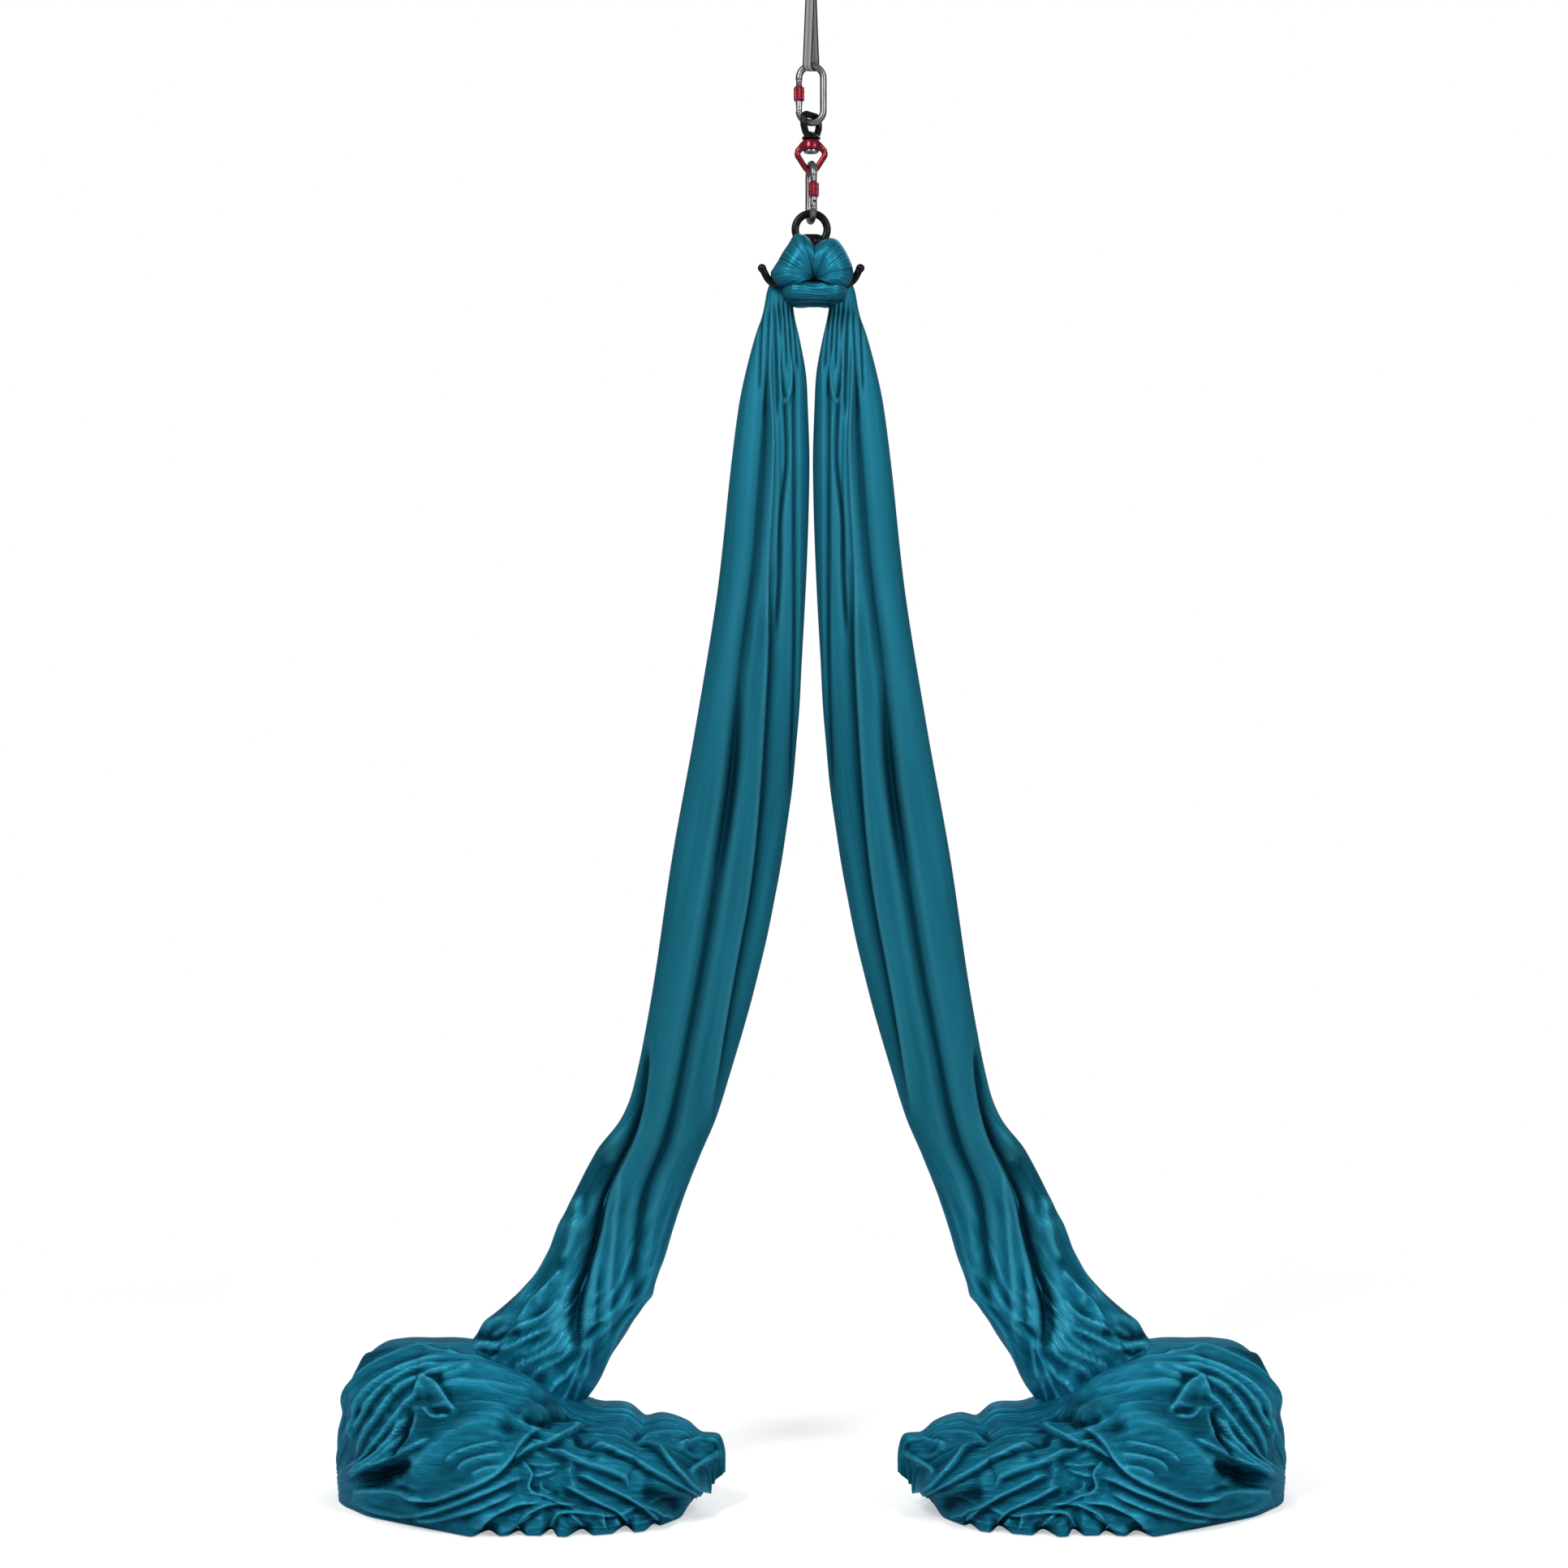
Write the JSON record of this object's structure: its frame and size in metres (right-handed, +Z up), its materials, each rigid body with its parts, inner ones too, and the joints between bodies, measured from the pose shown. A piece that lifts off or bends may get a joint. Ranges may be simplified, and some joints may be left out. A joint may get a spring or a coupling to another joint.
{
  "type": "aerial silk rig",
  "caption": "Aerial silk rig: a webbing sling, screw-lock carabiners, a ball-bearing swivel and a rescue figure-eight carry a knotted silk whose tails lie heaped on the floor.",
  "frame": {"origin": "inside of the sling's top bight, where it bears on what holds the rig up", "axes": "+Z up along the hanging line, +X to the right of the picture, +Y away from the viewer"},
  "size_m": [1.572, 0.432, 2.5665],
  "materials": {
    "webbing": "matt woven webbing",
    "steel": "satin plated steel",
    "dark_steel": "plain machined steel",
    "red_anodised": "crimson anodised",
    "black_anodised": "gloss black anodised",
    "silk": "satin nylon tricot, teal"
  },
  "bodies": {
    "sling": {"sling_webbing": "webbing"},
    "upper_carabiner": {"upper_carabiner_body": "steel"},
    "upper_gate": {"upper_gate": "steel", "upper_hinge_pin": "dark_steel", "upper_latch_pin": "dark_steel", "upper_push_rod": "dark_steel", "upper_gate_spring": "dark_steel"},
    "upper_sleeve": {"upper_lock_sleeve": "red_anodised"},
    "swivel_eye": {"swivel_eye": "black_anodised", "bearing_inner_race": "steel", "swivel_nut": "dark_steel"},
    "swivel_body": {"swivel_body": "red_anodised", "bearing_outer_race": "steel"},
    "bearing_balls": {"bearing_ball_cage": "steel"},
    "lower_carabiner": {"lower_carabiner_body": "steel"},
    "lower_gate": {"lower_gate": "steel", "lower_hinge_pin": "dark_steel", "lower_latch_pin": "dark_steel", "lower_push_rod": "dark_steel", "lower_gate_spring": "dark_steel"},
    "lower_sleeve": {"lower_lock_sleeve": "red_anodised"},
    "rescue_eight": {"rescue_eight": "black_anodised", "silk_knot": "silk"},
    "left_tail": {"silk_left_tail": "silk", "silk_left_heap": "silk"},
    "right_tail": {"silk_right_tail": "silk", "silk_right_heap": "silk"}
  },
  "joints": [
    {"name": "upper_swing", "type": "hinge", "parent": "sling", "child": "upper_carabiner", "pos_m": [0, 0, -0.17975], "axis": [1, 0, 0], "range_deg": [-20, 20]},
    {"name": "upper_gate_hinge", "type": "hinge", "parent": "upper_carabiner", "child": "upper_gate", "pos_m": [-0.02025, 0, -0.249], "axis": [0, 1, 0], "range_deg": [0, 24], "stiffness_Nm_per_rad": 0.3, "springref_deg": -20.05},
    {"name": "upper_sleeve_slide", "type": "slide", "parent": "upper_gate", "child": "upper_sleeve", "axis": [0, 0, 1], "range_m": [0, 0.014]},
    {"name": "eye_swing", "type": "hinge", "parent": "upper_carabiner", "child": "swivel_eye", "pos_m": [0, 0, -0.27425], "axis": [1, 0, 0], "range_deg": [-14, 14]},
    {"name": "swivel_spin", "type": "hinge", "parent": "swivel_eye", "child": "swivel_body", "pos_m": [0, 0, -0.27425], "axis": [0, 0, 1], "continuous": true},
    {"name": "ball_orbit", "type": "hinge", "parent": "swivel_eye", "child": "bearing_balls", "pos_m": [0, 0, -0.27425], "axis": [0, 0, 1], "continuous": true},
    {"name": "lower_swing", "type": "hinge", "parent": "swivel_body", "child": "lower_carabiner", "pos_m": [0, 0, -0.34315], "axis": [-0.1908, 0.9816, 0], "range_deg": [-20, 20]},
    {"name": "lower_gate_hinge", "type": "hinge", "parent": "lower_carabiner", "child": "lower_gate", "pos_m": [0.00386, -0.01988, -0.4124], "axis": [-0.9816, -0.1908, 0], "range_deg": [0, 24], "stiffness_Nm_per_rad": 0.3, "springref_deg": -20.05},
    {"name": "lower_sleeve_slide", "type": "slide", "parent": "lower_gate", "child": "lower_sleeve", "axis": [0, 0, 1], "range_m": [0, 0.014]},
    {"name": "eight_swing", "type": "hinge", "parent": "lower_carabiner", "child": "rescue_eight", "pos_m": [0, 0, -0.4251], "axis": [1, 0, 0], "range_deg": [-20, 20]},
    {"name": "left_tail_swing", "type": "hinge", "parent": "rescue_eight", "child": "left_tail", "pos_m": [-0.052, 0, -0.562], "axis": [0, 1, 0], "range_deg": [0, 12]},
    {"name": "right_tail_swing", "type": "hinge", "parent": "rescue_eight", "child": "right_tail", "pos_m": [0.052, 0, -0.562], "axis": [0, 1, 0], "range_deg": [-12, 0]}
  ],
  "couplings": [
    {"joint": "ball_orbit", "follows": "swivel_spin", "ratio": 0.5667}
  ]
}
